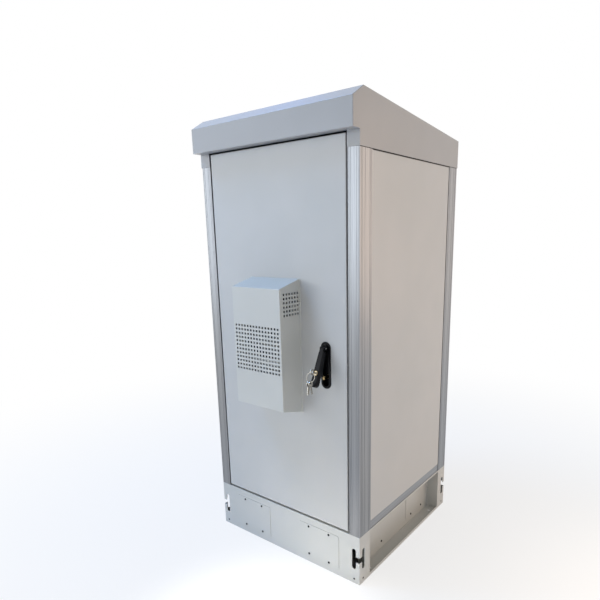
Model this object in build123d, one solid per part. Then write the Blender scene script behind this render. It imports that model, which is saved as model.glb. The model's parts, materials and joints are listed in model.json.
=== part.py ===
from build123d import *

import math
import os

# Roadside utility cabinet in millimetres.
# X runs along the front from left to right, Y runs from the front to the back, Z is up.
# The origin is the centre of the footprint, on the ground.

# Overall sizes
width = 750
depth = 750
plinth_height = 200
post_top = 1604
clearance = 0.5

# Plinth
plinth_sheet = 2
plinth_return = 72
side_recess = 55
plinth_flange = 40
channel_top_lip = 7
channel_bottom_lip = 12
anchor_hole_radius = 7
anchor_from_side = 23
anchor_from_end = 110
lifting_slot_width = 18
lifting_slot_height = 86
lifting_slot_inset = 26
lifting_slot_middle = 103
lifting_bridge_height = 23
corner_hole_radius = 4.5
corner_hole_inset = 25
corner_hole_height = 18
cover_plate_width = 196
cover_plate_height = 142
cover_plate_sheet = 1.5
cover_plate_corner = 5
cover_plate_offset = 181
cover_plate_middle = 99
cover_opening_border = 28
cover_opening_side = 60

# Corner posts
post_face = 47
post_side = 75
post_nose = 32
post_chamber = 26
post_wall = 2.5
post_edge_radius = 2
groove_width = 1.4
groove_depth = 0.7
front_groove_places = (5, 12, 34, 41)
side_groove_places = (9, 16, 30, 60, 67)

# Rails between the posts
rail_height = 36
rail_depth = 38
rail_wall = 2.5
rail_setback = 2

# Side and rear panels
panel_sheet = 1.5
panel_tray = 25
panel_setback = 1
panel_gap = 1.5
panel_rear_gap = 4
foam_thickness = 22

# Roof
roof_sheet = 1.5
roof_outset = 2
roof_overhang = 40
roof_eaves_gap = 12
roof_skirt_drop = 49
roof_fascia = 89
roof_ridge_inset = 19
roof_ridge_rise = 126
roof_rear_rise = 58
bearer_sheet = 3
bearer_inset = 60
bearer_foot = 25

# Door
door_sheet = 1.5
door_gap = 6.5
door_bottom_gap = 9
door_top_gap = 5
door_tray = 24
door_lip = 32
door_edge_radius = 2
frame_sheet = 2
frame_lip = 20
frame_inner_inset = 90
frame_bottom_rise = 14
frame_top_drop = 12
gasket_width = 10
gasket_inset = 18
gasket_gap = 0.3
stiffener_width = 50
stiffener_hinge_inset = 71.5
door_foam_thickness = 20

# Hinges
hinge_inset = 10
hinge_end_distance = 121
hinge_pin_radius = 3
hinge_running_gap = 0.05
hinge_eye_radius = 5.5
hinge_lug_radius = 6
hinge_eye_height = 30
hinge_lug_height = 12
hinge_axial_gap = 0.3
hinge_tab = 6
hinge_foot_width = 21
hinge_foot_height = 70
hinge_foot_sheet = 3
hinge_plate_sheet = 2
hinge_plate_width = 36
hinge_notch_margin = 5

# Cooling hood on the door
hood_middle = -5
hood_width = 238
hood_rim = 5
hood_rim_sheet = 2.5
hood_sheet = 1.5
hood_projection = 107
hood_rise = 433
hood_height = 505
hood_front_rise = 29
hood_front_drop = 28
hole_size = 8
hole_pitch = 15
front_hole_columns = 15
front_hole_rows = 12
front_holes_rise = 169
side_hole_columns = 6
side_hole_rows = 6
side_holes_rise = 381
side_holes_front_inset = 22

# Cooling unit behind the hood
unit_cutout_width = 200
unit_cutout_rise = 58
unit_cutout_height = 390
unit_border = 14
unit_depth = 105
unit_sheet = 1.5
fin_count = 14
fin_thickness = 1
fan_size = 200
fan_depth = 45
fan_wall = 4
fan_rise = 211
fan_bracket_drop = 40
fan_standoff = 28
inner_fan_size = 140
inner_fan_depth = 32
inner_fan_rise = 358
core_clearance = 20
blade_count = 5
blade_thickness = 1.6
fan_tip_gap = 3
fan_shaft_radius = 4
fan_running_gap = 0.05
grille_slot_count = 9
grille_slot_width = 6
grille_slot_pitch = 14
grille_slot_length = 120
grille_rise = 88
unit_cover_rim = 8
unit_cover_skirt = 10

# Swing handle lock
lock_inset = 90.5
lock_rise = 699
dish_length = 174
dish_width = 44
dish_below_hub = 152.5
dish_rim = 3
dish_body_inset = 4
dish_wall = 4
dish_depth = 20
dish_recess_below_hub = 16
hub_radius = 12
hub_disc = 5
hub_ear = 3.5
hub_ear_radius = 6
hub_gap = 0.3
spindle_radius = 6
spindle_running_gap = 0.05
lever_pivot_out = 15
lever_pin_radius = 2.5
lever_pin_gap = 0.05
lever_length = 142
lever_top_radius = 11
lever_tip_radius = 14
lever_thickness = 18
lever_wall = 3
lever_fork_width = 16
lever_eye_radius = 6
lever_popped = 24
barrel_distance = 92
barrel_radius = 8.5
barrel_proud = 1.5
plug_radius = 6
plug_running_gap = 0.05
cam_length = 9
cam_thickness = 2.5
latch_below_hub = 109
latch_half_height = 6
latch_width = 8
latch_proud = 13

# Keys
key_sheet = 2
key_bow_radius = 11
key_bow_hole = 4.5
key_blade_width = 8
key_shank = 9
key_blade_in_plug = 11.8
ring_radius = 17
ring_wire = 0.9
ring_lean = 20
ring_slack = 0.8
spare_key_blade = 28
spare_key_offset = 3.5
spare_key_swing = 9

# Lock rods and gear
gear_module = 2
gear_teeth = 12
gear_width = 8
gear_backlash = 0.3
rod_thickness = 6
rod_back = 7.5
rod_plane_depth = 38.5
rod_overlap = 10
rod_rack_teeth = 8
rod_rack_shift = 2
keeper_notch_width = 26
keeper_notch_margin = 2
gearbox_wall = 4
gearbox_height = 110
gearbox_clearance = 0.4
gearbox_cover_sheet = 2
rod_guide_height = 14
rod_guide_wall = 4
rod_guide_offset = 120
rod_guide_spacing = 240

# Inside the cabinet
floor_sheet = 2
floor_edge_gap = 1
rack_half_opening = 225
rack_flange = 22
rack_leg = 30
rack_sheet = 2
rack_front_depth = 140
rack_rear_depth = 110
rack_floor_gap = 12
rack_top_gap = 54
rack_end = 28
rack_hole = 9.5
rack_hole_spacing = 465.1
rack_unit = 44.45
rack_hole_places = (6.35, 22.225, 38.1)
rear_slot_length = 20
rear_slot_width = 7
member_height = 40
member_sheet = 1.5
member_end = 5
cable_entry_width = 360
cable_entry_depth = 100
cable_entry_middle = 170
entry_trim = 4
earth_bar_length = 250
earth_bar_height = 20
earth_bar_thickness = 5
earth_bar_rise = 60
earth_hole_radius = 3.3
earth_hole_count = 3
earth_hole_pitch = 60
earth_foot = 20
earth_foot_depth = 25
earth_rear_gap = 40

# Places worked out from the sizes above
half_width = width / 2
front = -depth / 2
rear = depth / 2
chamber_inner = half_width - post_chamber
seal_plane = front + post_nose
rail_top = plinth_height + rail_height
top_rail_low = post_top - rail_height
floor_top = rail_top + floor_sheet
roof_eaves = post_top + roof_eaves_gap
roof_skirt_bottom = roof_eaves - roof_skirt_drop
roof_ridge_height = roof_eaves + roof_ridge_rise
roof_rear_height = roof_eaves + roof_rear_rise
panel_low = rail_top
panel_high = roof_skirt_bottom + 1
panel_outer = half_width - panel_setback
door_half = half_width - post_face - door_gap
door_bottom = plinth_height + door_bottom_gap
door_top = roof_eaves - door_top_gap
door_inner = front + door_sheet
door_back = front + door_tray
frame_bottom_edge = rail_top + frame_bottom_rise
frame_top_edge = top_rail_low - frame_top_drop
gasket_outer = door_half - gasket_inset - door_sheet
gasket_low = door_bottom + gasket_inset
gasket_high = door_top - gasket_inset
stiffener_hinge_side = stiffener_hinge_inset - door_half
hinge_x = hinge_inset - door_half
hinge_y = front + hinge_inset
hinge_heights = (door_bottom + hinge_end_distance, (door_bottom + door_top) / 2,
                 door_top - hinge_end_distance)
hinge_notch_half = hinge_foot_height / 2 + hinge_notch_margin
hood_bottom = door_bottom + hood_rise
hood_top = hood_bottom + hood_height
hood_front_bottom = hood_bottom + hood_front_rise
hood_front_top = hood_top - hood_front_drop
unit_cutout_bottom = hood_bottom + unit_cutout_rise
unit_cutout_top = unit_cutout_bottom + unit_cutout_height
unit_back = door_back + unit_depth
fan_bottom = hood_bottom + fan_rise
inner_fan_middle = hood_bottom + inner_fan_rise
lock_x = door_half - lock_inset
hub_height = door_bottom + lock_rise
dish_bottom = hub_height - dish_below_hub
dish_top = dish_bottom + dish_length
dish_middle = (dish_bottom + dish_top) / 2
dish_face = front - dish_rim
dish_back = front + dish_depth
hub_front = dish_face - hub_gap - hub_disc
pivot_y = front - lever_pivot_out
latch_height = hub_height - latch_below_hub
pitch_radius = gear_module * gear_teeth / 2
gear_y = front + rod_plane_depth
rod_upper_tip = frame_top_edge + rod_overlap
rod_lower_tip = frame_bottom_edge - rod_overlap
rack_front = front + rack_front_depth
rack_rear = rear - rack_rear_depth
rack_bottom = floor_top + rack_floor_gap
rack_top = post_top - rack_top_gap
rack_first_unit = rack_bottom + rack_end
rack_unit_count = int((rack_top - rack_end / 2 - rack_first_unit) / rack_unit)
member_levels = (rack_bottom + member_end, (rack_bottom + rack_top - member_height) / 2,
                 rack_top - member_end - member_height)


def block(x, y, z):
    """Block between two limits on each axis."""
    size = [high - low for low, high in (x, y, z)]
    middle = [(high + low) / 2 for low, high in (x, y, z)]
    return Pos(*middle) * Box(*size)


def outline(points):
    """Flat face inside a closed run of straight lines."""
    return make_face(Polyline(*points, close=True))


def upright(face, low, high):
    """Prism of a plan view between two heights."""
    return extrude(Pos(0, 0, low) * face, amount=high - low)


def along_x(face, low, high):
    """Prism of a side view, drawn as depth and height, between two places on X."""
    return extrude(Plane.YZ.offset(low) * face, amount=high - low)


def along_y(face, low, high):
    """Prism of a front view, drawn as X and height, between two places on Y."""
    return extrude(Plane.XZ.offset(-high) * face, amount=high - low)


def folded(path, sheet):
    """Section of a folded sheet: the path is one skin and the sheet lies to its left."""
    def left(a, b):
        length = math.dist(a, b)
        return (a[1] - b[1]) / length, (b[0] - a[0]) / length

    inner = []
    for i, point in enumerate(path):
        before = left(path[max(i - 1, 0)], path[max(i - 1, 0) + 1])
        after = left(path[min(i, len(path) - 2)], path[min(i, len(path) - 2) + 1])
        scale = sheet / (1 + before[0] * after[0] + before[1] * after[1])
        inner.append((point[0] + scale * (before[0] + after[0]), point[1] + scale * (before[1] + after[1])))
    return outline(list(path) + inner[::-1])


def mirrored_x(shape):
    """The same shape on the other side of the cabinet."""
    return mirror(shape, Plane.YZ)


def group(shapes):
    """Several separate solids in one node."""
    return Compound(children=list(shapes))


# Plinth

def cover_places():
    """Middles of the two cover plates along one side of the plinth."""
    return (-cover_plate_offset, cover_plate_offset)


def cover_opening():
    """Opening behind one cover plate, as a front view."""
    clear_width = cover_plate_width - 2 * cover_opening_side
    clear_height = cover_plate_height - 2 * cover_opening_border
    return Rectangle(clear_width, clear_height)


def plinth_panel():
    """Front panel of the plinth: one sheet folded round both corners, with flanges."""
    inner_x = half_width - side_recess
    inner_y = front + plinth_return
    path = [(inner_x, inner_y), (half_width, inner_y), (half_width, front)]
    path = [(-x, y) for x, y in path] + path[::-1]
    panel = upright(folded(path, plinth_sheet), 0, plinth_height)
    corner_edges = panel.edges().filter_by(Axis.Z).group_by(Axis.Y)[0]
    panel = fillet(corner_edges, plinth_sheet)
    span = half_width - plinth_sheet
    for low in (0, plinth_height - plinth_sheet):
        panel += block((-span, span), (front + plinth_sheet, front + plinth_flange), (low, low + plinth_sheet))
    for middle in cover_places():
        panel -= along_y(Pos(middle, cover_plate_middle) * cover_opening(), front - 1, front + plinth_sheet + 1)
    for side in (-1, 1):
        panel -= corner_cuts(side)
    return panel


def corner_cuts(side):
    """Slots and holes at one front corner of the plinth."""
    x = side * (half_width - lifting_slot_inset)
    y = front + lifting_slot_inset
    slot = Rot(0, 0, 90) * SlotOverall(lifting_slot_height, lifting_slot_width)
    deep = plinth_sheet + 1
    cuts = along_y(Pos(x, lifting_slot_middle) * slot, front - 1, front + deep)
    reach = sorted((side * (half_width - deep), side * (half_width + 1)))
    cuts += along_x(Pos(y, lifting_slot_middle) * slot, *reach)
    bridge = (lifting_slot_middle - lifting_bridge_height / 2, lifting_slot_middle + lifting_bridge_height / 2)
    cuts += block(sorted((x, side * (half_width + 1))), (front - 1, y), bridge)
    corner_x = side * (half_width - corner_hole_inset)
    hole = Circle(corner_hole_radius)
    cuts += along_y(Pos(corner_x, corner_hole_height) * hole, front - 1, front + deep)
    cuts += along_x(Pos(front + corner_hole_inset, corner_hole_height) * hole, *reach)
    return cuts


def plinth_channel():
    """Right-hand side channel of the plinth, open outwards, with lips and anchor holes."""
    web = half_width - side_recess
    path = [(half_width, channel_bottom_lip), (half_width, 0), (web, 0)]
    path += [(web, plinth_height), (half_width, plinth_height), (half_width, plinth_height - channel_top_lip)]
    end = depth / 2 - plinth_return
    section = folded(path[::-1], plinth_sheet)
    channel = along_y(section, -end, end)
    for middle in cover_places():
        channel -= along_x(Pos(middle, cover_plate_middle) * cover_opening(), web - 1, web + plinth_sheet + 1)
    for y in (-depth / 2 + anchor_from_end, depth / 2 - anchor_from_end):
        channel -= Pos(half_width - anchor_from_side, y, 0) * Cylinder(anchor_hole_radius, 4 * plinth_sheet)
    return channel


def cover_plates():
    """Eight screwed cover plates round the plinth."""
    face = RectangleRounded(cover_plate_width, cover_plate_height, cover_plate_corner)
    plates = []
    web = half_width - side_recess + plinth_sheet
    for middle in cover_places():
        place = Pos(middle, cover_plate_middle) * face
        plates.append(along_y(place, front - cover_plate_sheet, front))
        plates.append(along_y(place, rear, rear + cover_plate_sheet))
        plates.append(along_x(place, web, web + cover_plate_sheet))
        plates.append(along_x(place, -web - cover_plate_sheet, -web))
    return group(plates)


# Frame

def corner_post():
    """Front right post: an extrusion with two chambers and fine outer grooves."""
    inner = half_width - post_face
    points = [(inner, front), (half_width, front), (half_width, front + post_side)]
    points += [(chamber_inner, front + post_side), (chamber_inner, front + post_nose), (inner, front + post_nose)]
    post = upright(outline(points), plinth_height, post_top)
    post = fillet(post.edges().filter_by(Axis.Z).group_by(Axis.Y)[0], post_edge_radius)
    tall = (plinth_height - 1, post_top + 1)
    nose = (front + post_wall, front + post_nose - post_wall)
    post -= block((inner + post_wall, half_width - post_wall), nose, tall)
    chamber = (front + post_nose, front + post_side - post_wall)
    post -= block((chamber_inner + post_wall, half_width - post_wall), chamber, tall)
    for place in front_groove_places:
        x = inner + place
        post -= block((x, x + groove_width), (front - 1, front + groove_depth), tall)
    for place in side_groove_places:
        y = front + place
        post -= block((half_width - groove_depth, half_width + 1), (y, y + groove_width), tall)
    return post


def rail(x, y, low):
    """Hollow rail between two posts, open at its ends."""
    long_x = x[1] - x[0] > y[1] - y[0]
    bar = block(x, y, (low, low + rail_height))
    if long_x:
        core = (x[0] - 1, x[1] + 1), (y[0] + rail_wall, y[1] - rail_wall)
    else:
        core = (x[0] + rail_wall, x[1] - rail_wall), (y[0] - 1, y[1] + 1)
    return bar - block(*core, (low + rail_wall, low + rail_height - rail_wall))


def frame_rails(low):
    """Front, rear, left and right rails at one height."""
    front_y = front + post_nose + frame_sheet
    end = depth / 2 - post_side
    outer = half_width - rail_setback
    nose = half_width - post_face
    cross = [
        rail((-chamber_inner, chamber_inner), (front_y, front_y + rail_depth), low),
        rail((-nose, nose), (rear - rail_setback - rail_depth, rear - rail_setback), low),
    ]
    sides = [
        rail((outer - rail_depth, outer), (-end, end), low),
        rail((-outer, -outer + rail_depth), (-end, end), low),
    ]
    return cross, sides


def door_frame():
    """Folded sealing frame round the doorway, with a keeper notch for each lock rod."""
    plane = seal_plane
    outer_x = chamber_inner
    inner_x = half_width - frame_inner_inset
    low = plinth_height + 3
    frame = block((-outer_x, outer_x), (plane, plane + frame_sheet), (low, post_top))
    lip = (plane, plane + frame_lip)
    opening_z = (frame_bottom_edge, frame_top_edge)
    ring_x = (-inner_x - frame_sheet, inner_x + frame_sheet)
    frame += block(ring_x, lip, (opening_z[0] - frame_sheet, opening_z[1] + frame_sheet))
    frame -= block((-inner_x, inner_x), (plane - 1, plane + frame_lip + 1), opening_z)
    half = keeper_notch_width / 2
    reach = rod_overlap + keeper_notch_margin
    middle = sum(rod_lines()) / 2
    deep = (plane - 1, plane + frame_lip + 1)
    upper_x = lock_x - middle
    lower_x = lock_x + middle
    frame -= block((upper_x - half, upper_x + half), deep, (frame_top_edge - 1, frame_top_edge + reach))
    frame -= block((lower_x - half, lower_x + half), deep, (frame_bottom_edge - reach, frame_bottom_edge + 1))
    return frame


def side_panel():
    """Right-hand side panel: a shallow folded tray."""
    y = (front + post_side + panel_gap, rear - post_side - panel_rear_gap)
    x = (panel_outer - panel_tray, panel_outer)
    tray = block(x, y, (panel_low, panel_high))
    hollow_y = (y[0] + panel_sheet, y[1] - panel_sheet)
    hollow_z = (panel_low + panel_sheet, panel_high - panel_sheet)
    return tray - block((x[0] - 1, x[1] - panel_sheet), hollow_y, hollow_z)


def rear_panel():
    """Rear panel: a shallow folded tray between the rear posts."""
    half = half_width - post_face - panel_gap
    y = (rear - panel_setback - panel_tray, rear - panel_setback)
    tray = block((-half, half), y, (panel_low, panel_high))
    hollow_x = (-half + panel_sheet, half - panel_sheet)
    hollow_z = (panel_low + panel_sheet, panel_high - panel_sheet)
    return tray - block(hollow_x, (y[0] - 1, y[1] - panel_sheet), hollow_z)


def panel_foam():
    """Insulation boards in the side and rear panels."""
    low = (panel_low + panel_sheet, panel_high - panel_sheet)
    outer = panel_outer - panel_sheet
    y = (front + post_side + panel_gap + panel_sheet, rear - post_side - panel_rear_gap - panel_sheet)
    half = half_width - post_face - panel_gap - panel_sheet
    back = rear - panel_setback - panel_sheet
    return group([
        block((outer - foam_thickness, outer), y, low),
        block((-outer, -outer + foam_thickness), y, low),
        block((-half, half), (back - foam_thickness, back), low),
    ])


# Roof

def roof_height(y):
    """Height of the roof's outer skin behind the ridge."""
    ridge_y = front + roof_ridge_inset
    run = rear + roof_outset - ridge_y
    return roof_ridge_height - (roof_ridge_height - roof_rear_height) * (y - ridge_y) / run


def roof_cover():
    """Roof of one folded sheet: fascia, chamfer, sloping top and a skirt round three sides."""
    out = roof_outset
    half = half_width + out
    nose = front - roof_overhang
    ridge = (front + roof_ridge_inset, roof_ridge_height)
    back = rear + out
    profile = [(front - out, roof_skirt_bottom), (front - out, roof_eaves), (nose, roof_eaves)]
    profile += [(nose, (roof_eaves + roof_fascia)), ridge, (back, roof_rear_height), (back, roof_skirt_bottom)]
    roof = along_x(outline(profile), -half, half)
    top_edges = [edge for edge in roof.edges() if edge.center().Z > roof_eaves + 1]
    roof = fillet(top_edges, roof_sheet + 0.5)
    skin = along_x(folded(profile[::-1], roof_sheet), -half, half)
    hollow = along_x(outline(profile), -half + roof_sheet, half - roof_sheet) - skin
    roof -= hollow
    roof -= block((-half + roof_sheet, half - roof_sheet), (front + 1, rear - 1), (roof_skirt_bottom - 1, roof_eaves))
    nose_x = half_width - post_face
    roof -= block((-nose_x, nose_x), (front - out - 1, front), (roof_skirt_bottom - 1, roof_eaves))
    return roof


def roof_bearers():
    """Two folded bearers that carry the sloping roof on the top plate."""
    start = front + bearer_inset
    end = rear - bearer_inset
    foot = post_top + floor_sheet
    bearers = []
    for side in (-1, 1):
        x = sorted((side * (half_width - bearer_inset), side * (half_width - bearer_inset - bearer_sheet)))
        top = roof_sheet * 1.01
        web = [(start, foot), (end, foot), (end, roof_height(end) - top), (start, roof_height(start) - top)]
        bearer = along_x(outline(web), *x)
        foot_x = sorted((side * (half_width - bearer_inset), side * (half_width - bearer_inset - bearer_foot)))
        bearer += block(foot_x, (start, end), (foot, foot + bearer_sheet))
        bearers.append(bearer)
    return group(bearers)


def top_plate():
    """Flat plate that closes the cabinet under the roof."""
    half = half_width - rail_setback
    y = (front + post_nose + frame_sheet, rear - rail_setback)
    return block((-half, half), y, (post_top, post_top + floor_sheet))


# Door

def door_panel():
    """Door: one sheet folded into a tray, with cut-outs for the lock, the unit and the hinges."""
    z = (door_bottom, door_top)
    tray = block((-door_half, door_half), (front, door_back), z)
    tray = fillet(tray.faces().sort_by(Axis.Y)[0].edges(), door_edge_radius)
    inner_x = door_half - door_sheet
    inner_z = (door_bottom + door_sheet, door_top - door_sheet)
    tray -= block((-inner_x, inner_x), (door_inner, door_back - door_sheet), inner_z)
    lip_x = door_half - door_lip
    tray -= block((-lip_x, lip_x), (door_inner, door_back + 1), (door_bottom + door_lip, door_top - door_lip))
    dish_hole = Rot(0, 0, 90) * SlotOverall(
        dish_length - 2 * dish_body_inset + 2 * clearance, dish_width - 2 * dish_body_inset + 2 * clearance)
    tray -= along_y(Pos(lock_x, dish_middle) * dish_hole, front - 1, door_inner + 1)
    half = unit_cutout_width / 2
    unit_x = (hood_middle - half, hood_middle + half)
    tray -= block(unit_x, (front - 1, door_inner + 1), (unit_cutout_bottom, unit_cutout_top))
    for height in hinge_heights:
        notch_z = (height - hinge_notch_half, height + hinge_notch_half)
        notch_x = (-door_half - 1, hinge_x + hinge_tab / 2 + 3.5)
        tray -= block(notch_x, (door_inner, door_back + 1), notch_z)
    return tray


def stiffener(middle):
    """Folded channel on the inside of the door skin."""
    half = stiffener_width / 2
    path = [(middle + half, door_inner), (middle + half, door_back), (middle - half, door_back)]
    path.append((middle - half, door_inner))
    low = door_bottom + door_lip + 2
    high = door_top - door_lip - 2
    return upright(folded(path, door_sheet), low, high)


def door_stiffeners():
    """Hinge-side and lock-side stiffeners, the second one open round the lock."""
    lock_side = stiffener(lock_x)
    half = dish_width / 2 - 1
    lock_side -= block(
        (lock_x - half, lock_x + half), (door_back - 3, door_back + 1), (dish_bottom - 6, dish_top + 6))
    return group([stiffener(stiffener_hinge_side), lock_side])


def door_foam():
    """Insulation board on the door skin round the cooling unit."""
    half = stiffener_width / 2 + 2
    x = (stiffener_hinge_side + half, lock_x - half)
    z = (door_bottom + door_lip + 2, door_top - door_lip - 2)
    board = block(x, (door_inner, door_inner + door_foam_thickness), z)
    unit_half = unit_cutout_width / 2 + unit_border + 1
    unit_z = (unit_cutout_bottom - unit_border - 1, unit_cutout_top + unit_border + 1)
    return board - block((hood_middle - unit_half, hood_middle + unit_half), (front, door_back), unit_z)


def door_gasket():
    """Foamed seal on the door lip that meets the sealing frame."""
    y = (door_back, seal_plane - gasket_gap)
    seal = block((-gasket_outer, gasket_outer), y, (gasket_low, gasket_high))
    inner = gasket_outer - gasket_width
    return seal - block(
        (-inner, inner), (y[0] - 1, y[1] + 1), (gasket_low + gasket_width, gasket_high - gasket_width))


# Hinges

def hinge_frame_leaf(height):
    """Leaf on the sealing frame: a foot, a tab and an eye round the pin."""
    foot_x = (-half_width + post_face + 3, -half_width + post_face + 3 + hinge_foot_width)
    foot_front = seal_plane - hinge_foot_sheet
    foot_half = hinge_foot_height / 2
    foot = block(foot_x, (foot_front, foot_front + hinge_foot_sheet), (height - foot_half, height + foot_half))
    half = hinge_eye_height / 2
    eye = Pos(hinge_x, hinge_y) * Circle(hinge_eye_radius)
    arm = Pos(hinge_x, (hinge_y + foot_front) / 2) * Rectangle(hinge_tab, foot_front - hinge_y)
    bore = Pos(hinge_x, hinge_y) * Circle(hinge_pin_radius + hinge_running_gap)
    return foot + upright(eye + arm - bore, height - half, height + half)


def hinge_door_leaf(height):
    """Leaf on the door: a plate on the skin and two lugs that hold the pin."""
    plate_x = (hinge_x - hinge_lug_radius, hinge_x - hinge_lug_radius + hinge_plate_width)
    reach = hinge_eye_height / 2 + hinge_axial_gap
    plate_half = reach + hinge_lug_height + 5
    plate_y = (door_inner, door_inner + hinge_plate_sheet)
    leaf = block(plate_x, plate_y, (height - plate_half, height + plate_half))
    rise = hinge_y - door_inner
    root = Pos(hinge_x + 3, hinge_y - rise / 2) * Rectangle(2 * hinge_lug_radius + 6, rise)
    lug = Pos(hinge_x, hinge_y) * Circle(hinge_lug_radius) + root
    lug -= Pos(hinge_x, hinge_y) * Circle(hinge_pin_radius)
    leaf += upright(lug, height + reach, height + reach + hinge_lug_height)
    leaf += upright(lug, height - reach - hinge_lug_height, height - reach)
    return leaf


def hinge_pin(height):
    """Pin pressed in the door lugs, running in the frame eye."""
    half = hinge_eye_height / 2 + hinge_axial_gap + hinge_lug_height + 2
    return upright(Pos(hinge_x, hinge_y) * Circle(hinge_pin_radius), height - half, height + half)


# Cooling hood

def hood():
    """Perforated hood: folded front, slanting top and bottom, and a screwed rim."""
    half = hood_width / 2
    nose = front - hood_projection
    side = [(front, hood_bottom), (front, hood_top), (nose, hood_front_top), (nose, hood_front_bottom)]
    shell = along_x(outline(side), hood_middle - half, hood_middle + half)
    outer_edges = [edge for edge in shell.edges() if edge.center().Y < front - 1]
    shell = fillet(outer_edges, hood_sheet + 0.5)
    inner_nose = nose + hood_sheet
    slope = (hood_top - hood_front_top) / hood_projection
    drop = hood_sheet * math.hypot(1, slope)
    back = front + 1
    lift = slope * (back - inner_nose)
    cut_top = hood_front_top - drop + slope * hood_sheet
    cut_bottom = hood_front_bottom + drop - slope * hood_sheet
    cavity = [(back, cut_bottom - lift), (back, cut_top + lift), (inner_nose, cut_top), (inner_nose, cut_bottom)]
    inner_half = half - hood_sheet
    shell -= along_x(outline(cavity), hood_middle - inner_half, hood_middle + inner_half)
    for side_sign in (-1, 1):
        edge = hood_middle + side_sign * half
        rim = sorted((edge, edge + side_sign * hood_rim))
        shell += block(rim, (front - hood_rim_sheet, front), (hood_bottom, hood_top))
    return shell - front_holes() - side_holes()


def front_holes():
    """Square punched holes in the front of the hood."""
    face = GridLocations(hole_pitch, hole_pitch, front_hole_columns, front_hole_rows)
    holes = Sketch() + [place * Rectangle(hole_size, hole_size) for place in face]
    middle = hood_bottom + front_holes_rise + (front_hole_rows - 1) * hole_pitch / 2
    nose = front - hood_projection
    return along_y(Pos(hood_middle, middle) * holes, nose - 1, nose + hood_sheet + 1)


def side_holes():
    """Square punched holes through both sides of the hood."""
    face = GridLocations(hole_pitch, hole_pitch, side_hole_columns, side_hole_rows)
    holes = Sketch() + [place * Rectangle(hole_size, hole_size) for place in face]
    middle_y = front - hood_projection + side_holes_front_inset + (side_hole_columns - 1) * hole_pitch / 2
    middle_z = hood_bottom + side_holes_rise + (side_hole_rows - 1) * hole_pitch / 2
    half = hood_width / 2
    placed = Pos(middle_y, middle_z) * holes
    right = along_x(placed, hood_middle + half - hood_sheet - 1, hood_middle + half + 1)
    left = along_x(placed, hood_middle - half - 1, hood_middle - half + hood_sheet + 1)
    return right + left


# Cooling unit

def unit_window(border):
    """X and Z limits of the unit, grown by a border."""
    half = unit_cutout_width / 2 + border
    return (hood_middle - half, hood_middle + half), (unit_cutout_bottom - border, unit_cutout_top + border)


def unit_housing():
    """Open box behind the door skin, with a flange screwed to the skin."""
    box_x, box_z = unit_window(0)
    flange_x, flange_z = unit_window(unit_border)
    housing = block(flange_x, (door_inner, door_inner + unit_sheet), flange_z)
    housing += block(box_x, (door_inner, unit_back), box_z)
    inner_x, inner_z = unit_window(-unit_sheet)
    return housing - block(inner_x, (door_inner - 1, unit_back + 1), inner_z)


def unit_core():
    """Plate pack of the heat exchanger, with slots between the plates."""
    inner_x, inner_z = unit_window(-unit_sheet)
    span = inner_x[1] - inner_x[0]
    y = (door_inner + 14, unit_back - inner_fan_depth - 12)
    plate = fin_thickness / 2
    top = inner_fan_middle - inner_fan_size / 2 - core_clearance
    core = block(inner_x, ((y[0] + y[1]) / 2 - 1.5, (y[0] + y[1]) / 2 + 1.5), (inner_z[0], top))
    for i in range(fin_count):
        x = inner_x[0] + (i + 0.5) * span / fin_count
        core += block((x - plate, x + plate), y, (inner_z[0], top))
    return core


def unit_cover():
    """Inner cover of the unit, with the fan opening and a slotted return grille."""
    cover_x, cover_z = unit_window(unit_cover_rim)
    cover = block(cover_x, (unit_back, unit_back + unit_sheet), cover_z)
    rim_x, rim_z = unit_window(unit_cover_rim - unit_sheet)
    skirt = block(cover_x, (unit_back - unit_cover_skirt, unit_back), cover_z)
    skirt -= block(rim_x, (unit_back - unit_cover_skirt - 1, unit_back + 1), rim_z)
    cover += skirt
    reach = (unit_back - 1, unit_back + unit_sheet + 1)
    opening = Circle(inner_fan_size / 2 - fan_wall - fan_tip_gap)
    cover -= along_y(Pos(hood_middle, inner_fan_middle) * opening, *reach)
    for i in range(grille_slot_count):
        slot = Pos(hood_middle, hood_bottom + grille_rise + i * grille_slot_pitch) * Rectangle(grille_slot_length, grille_slot_width)
        cover -= along_y(slot, *reach)
    return cover


def fan_shroud():
    """Light sheet bracket that carries the outer fan in front of the core."""
    half = fan_size / 2
    x = (hood_middle - half, hood_middle + half)
    z = (fan_bottom - fan_bracket_drop, fan_bottom + fan_size)
    face = front - fan_standoff
    shroud = block(x, (face, front), z)
    inner_x = (x[0] + unit_sheet, x[1] - unit_sheet)
    inner_z = (z[0] + unit_sheet, z[1] - unit_sheet)
    shroud -= block(inner_x, (face + unit_sheet, front + 1), inner_z)
    opening = Pos(hood_middle, fan_bottom + half) * Circle(half - fan_wall)
    return shroud - along_y(opening, face - 1, face + unit_sheet + 1)


def fan_frame(size, deep, middle_z, back):
    """Square fan frame with a round duct, four arms and a motor seat at the back."""
    half = size / 2
    middle = Pos(hood_middle, middle_z)
    frame = along_y(middle * Rectangle(size, size), back - deep, back)
    frame -= along_y(middle * Circle(half - fan_wall), back - deep - 1, back + 1)
    seat = middle * Circle(half * 0.3)
    arms = middle * Rot(0, 0, 45) * Rectangle(size * 1.02, 5) + middle * Rot(0, 0, -45) * Rectangle(size * 1.02, 5)
    spider = (seat + arms) & (middle * Circle(half - fan_wall + 1))
    frame += along_y(spider, back - 4, back)
    shaft = middle * Circle(fan_shaft_radius)
    return frame + along_y(shaft, back - deep + 6, back - 4)


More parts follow.
